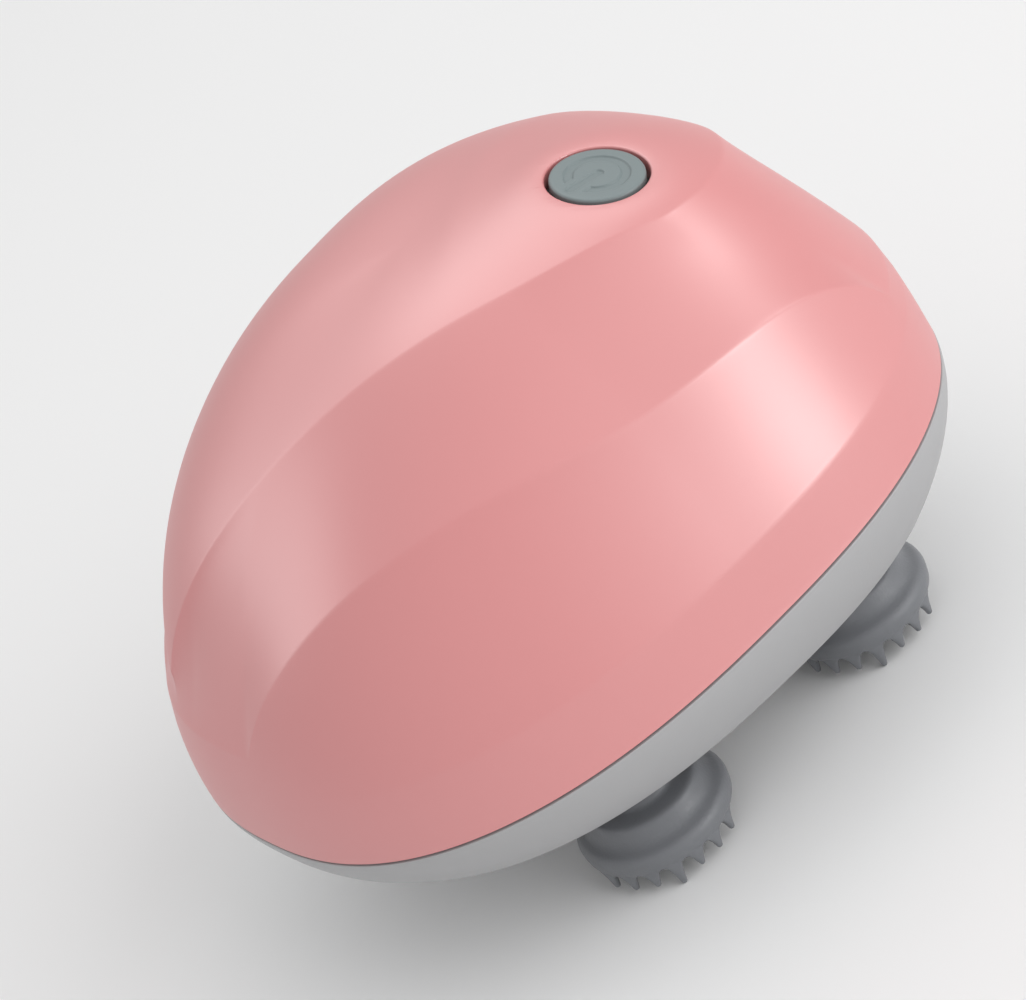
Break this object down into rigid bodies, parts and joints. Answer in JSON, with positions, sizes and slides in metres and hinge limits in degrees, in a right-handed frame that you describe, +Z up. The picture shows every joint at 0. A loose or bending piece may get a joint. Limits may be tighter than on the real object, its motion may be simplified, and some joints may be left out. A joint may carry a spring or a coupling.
{
  "type": "electric pet massager",
  "caption": "Egg-shaped hand-held kneading massager: creased pink dome on a grey base with a round power button, standing on geared soft toothed heads that turn together.",
  "frame": {"origin": "on the surface it stands on, under the middle of the housing", "axes": "+X along the length towards the button end, +Y across, +Z up"},
  "size_m": [0.12, 0.101, 0.0867],
  "materials": {
    "shell_pink": "satin, smooth",
    "shell_grey": "fine moulded grain",
    "seam_dark": "matte",
    "button_grey": "satin",
    "head_silicone": "matte silicone",
    "nylon_white": "moulded",
    "nylon_black": "moulded",
    "steel": "turned",
    "motor_zinc": "zinc plated",
    "brass": "machined",
    "screw_zinc": "zinc plated",
    "bracket_grey": "moulded",
    "board_green": "solder mask",
    "cell_wrap": "shrink wrap",
    "seal_black": "matte",
    "cover_silicone": "matte silicone",
    "lead_red": "wire sheath",
    "lead_yellow": "wire sheath",
    "lead_white": "wire sheath"
  },
  "bodies": {
    "housing": {"upper_shell": "shell_pink", "base_shell": "shell_grey", "seam_gasket": "seam_dark", "button_seal": "cover_silicone", "switch_carrier": "nylon_black", "switch_board": "board_green", "push_switch": "nylon_black", "spindle_bush_1": "brass", "spindle_bush_2": "brass", "spindle_bush_3": "brass", "spindle_bush_4": "brass", "shaft_seal_1": "seal_black", "shaft_seal_2": "seal_black", "shaft_seal_3": "seal_black", "shaft_seal_4": "seal_black", "gear_plate": "bracket_grey", "motor_bracket": "bracket_grey", "motor": "motor_zinc", "motor_screws": "screw_zinc", "bracket_screws": "screw_zinc", "shell_screws": "screw_zinc", "battery_cell": "cell_wrap", "battery_cradle": "nylon_black", "battery_strap": "seal_black", "main_board": "board_green", "board_screws": "screw_zinc", "charge_socket": "steel", "battery_leads": "lead_red", "motor_leads": "lead_yellow", "switch_leads": "lead_white"},
    "head_1": {"massage_head_1": "head_silicone", "head_core_1": "nylon_black", "spindle_1": "steel", "head_gear_1": "nylon_white"},
    "head_2": {"massage_head_2": "head_silicone", "head_core_2": "nylon_black", "spindle_2": "steel", "head_gear_2": "nylon_white"},
    "head_3": {"massage_head_3": "head_silicone", "head_core_3": "nylon_black", "spindle_3": "steel", "head_gear_3": "nylon_white"},
    "head_4": {"massage_head_4": "head_silicone", "head_core_4": "nylon_black", "spindle_4": "steel", "head_gear_4": "nylon_white"},
    "wheel": {"sun_gear": "nylon_white", "drive_wheel": "nylon_white", "drive_shaft": "steel"},
    "pinion": {"motor_pinion": "brass", "motor_shaft": "steel"},
    "button": {"power_button": "button_grey", "button_stem": "nylon_black", "switch_plunger": "nylon_black"},
    "cover": {"port_cover": "cover_silicone"}
  },
  "joints": [
    {"name": "head_1_spin", "type": "hinge", "parent": "housing", "child": "head_1", "pos_m": [-0.01846, -0.02206, 0.012], "axis": [0, 0, 1], "continuous": true},
    {"name": "head_2_spin", "type": "hinge", "parent": "housing", "child": "head_2", "pos_m": [0.02566, -0.02206, 0.012], "axis": [0, 0, 1], "continuous": true},
    {"name": "head_3_spin", "type": "hinge", "parent": "housing", "child": "head_3", "pos_m": [0.02566, 0.02206, 0.012], "axis": [0, 0, 1], "continuous": true},
    {"name": "head_4_spin", "type": "hinge", "parent": "housing", "child": "head_4", "pos_m": [-0.01846, 0.02206, 0.012], "axis": [0, 0, 1], "continuous": true},
    {"name": "wheel_spin", "type": "hinge", "parent": "housing", "child": "wheel", "pos_m": [0.0036, 0, 0.027], "axis": [0, 0, 1], "continuous": true},
    {"name": "pinion_spin", "type": "hinge", "parent": "housing", "child": "pinion", "pos_m": [-0.018, 0, 0.0345], "axis": [0, 0, 1], "continuous": true},
    {"name": "button_press", "type": "slide", "parent": "housing", "child": "button", "axis": [-0.2489, 0.2578, -0.9336], "range_m": [0, 0.0008], "stiffness_N_per_m": 2500, "springref_m": -0.0004},
    {"name": "port_cover_open", "type": "hinge", "parent": "housing", "child": "cover", "pos_m": [0.0588, 0, 0.04115], "axis": [0, 1, 0], "range_deg": [0, 100], "stiffness_Nm_per_rad": 0.0006, "springref_deg": -11.46}
  ],
  "couplings": [
    {"joint": "head_2_spin", "follows": "head_1_spin", "ratio": 1},
    {"joint": "head_3_spin", "follows": "head_1_spin", "ratio": 1},
    {"joint": "head_4_spin", "follows": "head_1_spin", "ratio": 1},
    {"joint": "wheel_spin", "follows": "head_1_spin", "ratio": -1},
    {"joint": "pinion_spin", "follows": "head_1_spin", "ratio": 5}
  ]
}
